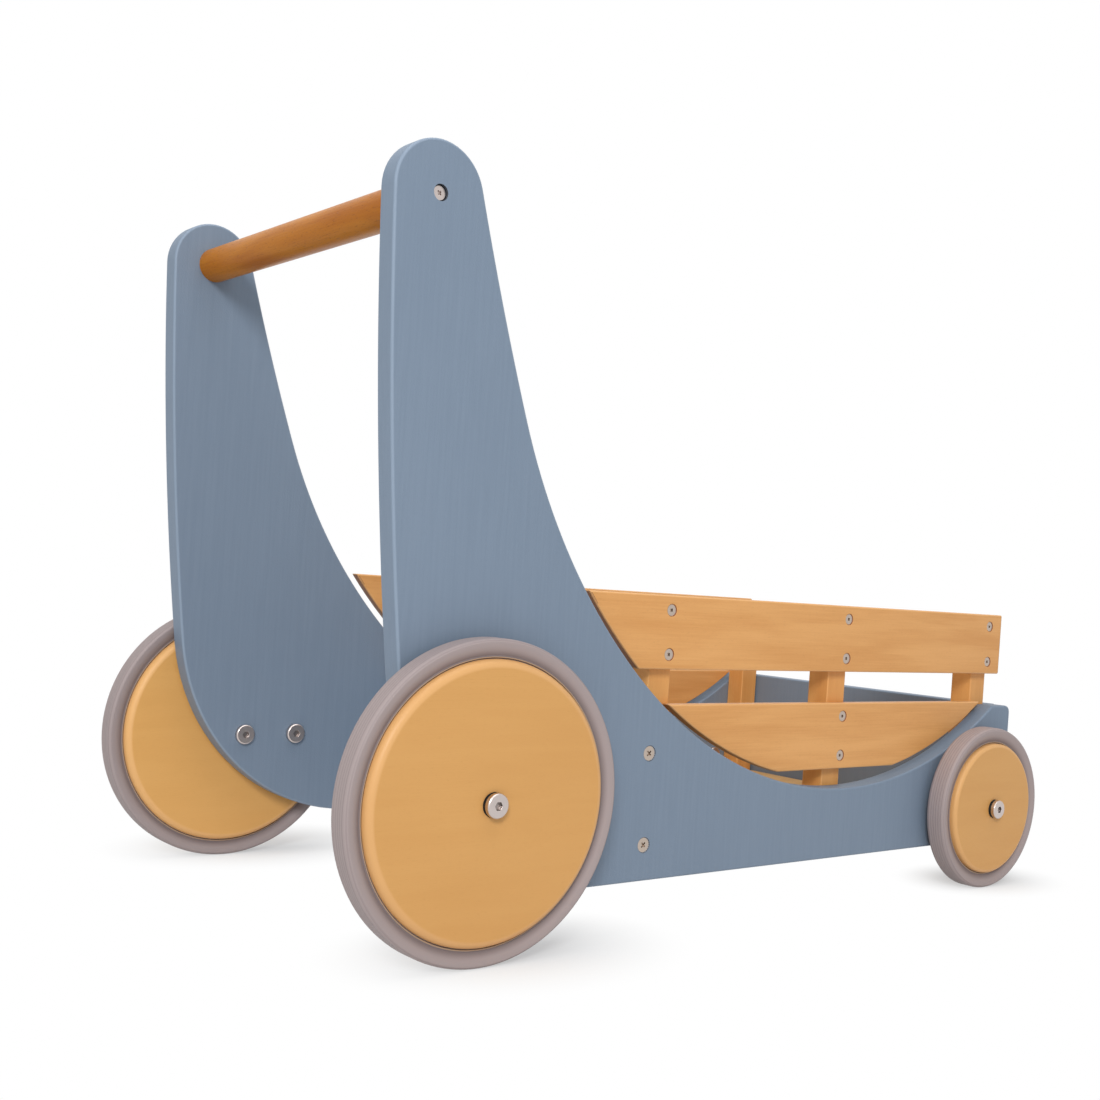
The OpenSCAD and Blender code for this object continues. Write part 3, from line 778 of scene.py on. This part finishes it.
# %% [markdown]
# ## Wheels
# A wheel is a thick wooden disc with well-rounded edges and a solid rubber tyre in a groove round
# its rim. The small front discs have a smaller round. The tyre's side sinks towards the wood, and
# where they meet the mould has left a thin lip between two dark grooves. Those few points of the
# cross-section make the wheel.

# %% Wheel discs and tyres
DISC_ROUND = {"rear": 0.0055, "front": 0.0034}
BORE_RADIUS = 0.00755
BORE_ROUND = 0.0005
SEAT_DEPTH = 0.0025
SEAT_INSET = 0.006
SHOULDER_INSET = 0.0025
SHOULDER_ROUND = 0.0042
SIDE_ROUND = 0.002
LIP_HEIGHT = 0.0011
LIP_WIDTH = 0.0007
LIP_ROUND = 0.0004
LIP_GROOVE = 0.0007
GROOVE_ROUND = 0.0003

for wheel in WHEELS:
    side, end = wheel.split("_")
    low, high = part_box(wheel + "_wheel_disc")
    axle = axle_of(wheel)
    rim = (high.x - low.x) / 2
    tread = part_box(wheel + "_tyre")[1].z - axle.z

    disc = turned(mirrored([
        (BORE_RADIUS, low.y, BORE_ROUND),
        (rim, low.y, DISC_ROUND[end]),
        (rim, low.y + SEAT_INSET, 0),
        (rim - SEAT_DEPTH, low.y + SEAT_INSET, 0),
    ], axle.y), axle)
    # The disc's rounds are marked for the wood's painted highlight
    highlight_round = disc.verts.layers.float.new("highlight_round")
    for vert in disc.verts:
        vert[highlight_round] = float(abs(vert.co.y - axle.y) < high.y - axle.y - WELD)
    dress(disc, wheel + "_wheel_disc", wheel_wood[side])

    foot = low.y + SEAT_INSET
    lip = rim + LIP_GROOVE
    tyre = turned(mirrored([
        (rim - SEAT_DEPTH, foot, 0),
        (rim, foot, 0),
        (lip, foot, 0),
        (lip, foot - LIP_HEIGHT, LIP_ROUND),
        (lip + LIP_WIDTH, foot - LIP_HEIGHT, LIP_ROUND),
        (lip + LIP_WIDTH + LIP_GROOVE, foot - LIP_GROOVE, GROOVE_ROUND),
        (tread - SHOULDER_ROUND, low.y + SHOULDER_INSET, SIDE_ROUND),
        (tread, low.y + SHOULDER_INSET, SHOULDER_ROUND),
    ], axle.y), axle)
    rise = tyre.verts.layers.float.new("rise")
    raised = tyre.verts.layers.float.new("lip")
    reach = tyre.verts.layers.float["reach"]
    for vert in tyre.verts:
        vert[rise] = (vert[reach] - rim) / (tread - rim)
        in_lip = lip - WELD < vert[reach] < lip + LIP_WIDTH + WELD
        proud = abs(vert.co.y - axle.y) > axle.y - foot + WELD
        vert[raised] = float(in_lip and proud)
    dress(tyre, wheel + "_tyre", rubber)

# %% [markdown]
# ## Handle bar
# The handle is a round bar between the panels' heads. It is turned too, with the bore for its
# screw left in each end, so that the piece is as solid as the real one.

# %% Handle bar
HANDLE_BORE = 0.00255
HANDLE_BORE_DEPTH = 0.040
HANDLE_EASE = 0.0004

low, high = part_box("handle_bar")
bar = (low + high) / 2
bar_radius = (high.x - low.x) / 2
handle = turned(mirrored([
    (0, low.y + HANDLE_BORE_DEPTH, 0),
    (HANDLE_BORE, low.y + HANDLE_BORE_DEPTH, 0),
    (HANDLE_BORE, low.y, 0),
    (bar_radius, low.y, HANDLE_EASE),
], bar.y), bar)
dress(mark_ends(handle, "Y"), "handle_bar", handle_wood)

# %% [markdown]
# ## Metal fittings
# Screws, axle sleeves and bolts are small but bright, and their rims catch the light first.
# Their construction solids have the true heads, sockets and crosses, so a copy only gets a
# fine round on every edge. The caps' key sockets are marked and darkened inside, a painted shade,
# and the small screws are of duller steel than the caps.

# %% Metal fittings
SCREW_EASE = 0.00014
CAP_EASE = 0.00025
SOCKET_RADIUS = 0.0030


def mark_sockets(shape, node):
    """Marks the key socket of a cap: small faces round the axle that look inwards or along it"""
    low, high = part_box(node)
    middle = (low + high) / 2
    bore = shape.faces.layers.float.new("bore")
    for face in shape.faces:
        reaches = [hypot(vert.co.x - middle.x, vert.co.z - middle.z) for vert in face.verts]
        out = face.calc_center_median() - middle
        inwards = face.normal.x * out.x + face.normal.z * out.z < WELD
        face[bore] = float(max(reaches) < SOCKET_RADIUS and inwards)
    return shape


screws = ["front_wall_screws", "rear_wall_screws", "right_slat_screws", "left_slat_screws"]
caps = [wheel + part for wheel in WHEELS for part in ("_axle_sleeve", "_axle_bolt")]
caps += [side + "_tension_bolt" for side in SIDES]
dress(ease(copy_of("handle_screws"), SCREW_EASE, steps=2), "handle_screws", steel)
for node in screws:
    dress(ease(copy_of(node), SCREW_EASE, steps=2), node, screw_steel)
for node in caps:
    dress(mark_sockets(ease(copy_of(node), CAP_EASE), node), node, steel)

# %% [markdown]
# ## Small parts that stay as built
# Bushes, washers, dowels, inserts and pads are almost hidden, and their construction shapes are
# right as they stand. Each only changes its plain colour for a finish.

# %% Small parts
def refinish(node, finish):
    """Gives a construction node that is right as it stands a better finish"""
    materials = frame["nodes"][node].data.materials
    materials.clear()
    materials.append(finish)


for wheel in WHEELS:
    refinish(wheel + "_bush", nylon)
    refinish(wheel + "_washers", nylon)
for side in SIDES:
    refinish(side + "_post_dowels", post_wood)
    refinish(side + "_tension_insert", brass)
    refinish(side + "_tension_pad", felt)
print("small parts refinished")

# %% Sizes
low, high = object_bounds()
print("size:", [round(n, 4) for n in high - low])
